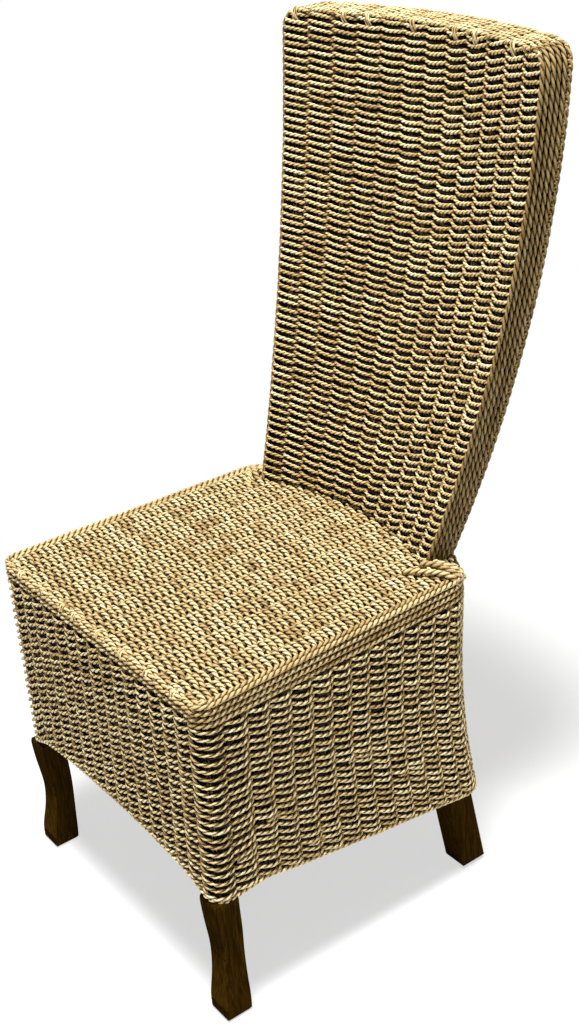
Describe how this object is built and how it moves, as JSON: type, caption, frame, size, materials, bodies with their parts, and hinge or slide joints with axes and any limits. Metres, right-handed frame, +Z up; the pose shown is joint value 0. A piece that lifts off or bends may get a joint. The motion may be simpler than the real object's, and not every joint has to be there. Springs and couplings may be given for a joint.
{
  "type": "dining chair",
  "caption": "Tall-backed dining chair woven in twisted rope, with a skirted seat, a hollow flared back and short curved wooden feet.",
  "frame": {"origin": "on the floor, under the middle of the chair's bounding box", "axes": "+Z up; +Y from the front of the seat towards the back; +X to the right of someone who stands in front of the chair and looks at it. Left and right in the node names are that viewer's."},
  "size_m": [0.4836, 0.6326, 1.0835],
  "materials": {
    "stained_wood": "dark brown satin stain",
    "frame_wood": "plain sawn hardwood",
    "cane": "peeled cane, unfinished",
    "steel": "zinc-plated",
    "seagrass_weave": "twisted seagrass, natural",
    "seagrass_rope": "twisted seagrass, natural"
  },
  "bodies": {
    "root": {"front_left_leg": "stained_wood", "front_right_leg": "stained_wood", "rear_left_leg": "stained_wood", "rear_right_leg": "stained_wood", "front_seat_rail": "frame_wood", "rear_seat_rail": "frame_wood", "left_seat_rail": "frame_wood", "right_seat_rail": "frame_wood", "rear_skirt_rail": "frame_wood", "front_left_corner_block": "frame_wood", "front_right_corner_block": "frame_wood", "rear_left_corner_block": "frame_wood", "rear_right_corner_block": "frame_wood", "front_seat_slat": "frame_wood", "middle_seat_slat": "frame_wood", "rear_seat_slat": "frame_wood", "left_back_post": "frame_wood", "right_back_post": "frame_wood", "crest_rail": "frame_wood", "middle_back_rail": "frame_wood", "lower_back_rail": "frame_wood", "seat_warps": "cane", "back_front_stakes": "cane", "back_rear_stakes": "cane", "front_skirt_stakes": "cane", "left_skirt_stakes": "cane", "right_skirt_stakes": "cane", "rear_skirt_stakes": "cane", "front_hem_rod": "cane", "left_hem_rod": "cane", "right_hem_rod": "cane", "rear_hem_rod": "cane", "corner_block_screws": "steel", "back_post_screws": "steel", "seat_weave": "seagrass_weave", "front_skirt_weave": "seagrass_weave", "left_skirt_weave": "seagrass_weave", "right_skirt_weave": "seagrass_weave", "rear_skirt_weave": "seagrass_weave", "back_front_weave": "seagrass_weave", "back_rear_weave": "seagrass_weave", "back_edge_ropes": "seagrass_rope", "left_seat_border_ropes": "seagrass_rope", "right_seat_border_ropes": "seagrass_rope", "left_back_lashing": "seagrass_rope", "right_back_lashing": "seagrass_rope", "front_hem_rope": "seagrass_rope", "left_hem_rope": "seagrass_rope", "right_hem_rope": "seagrass_rope", "rear_hem_rope": "seagrass_rope"}
  },
  "joints": []
}
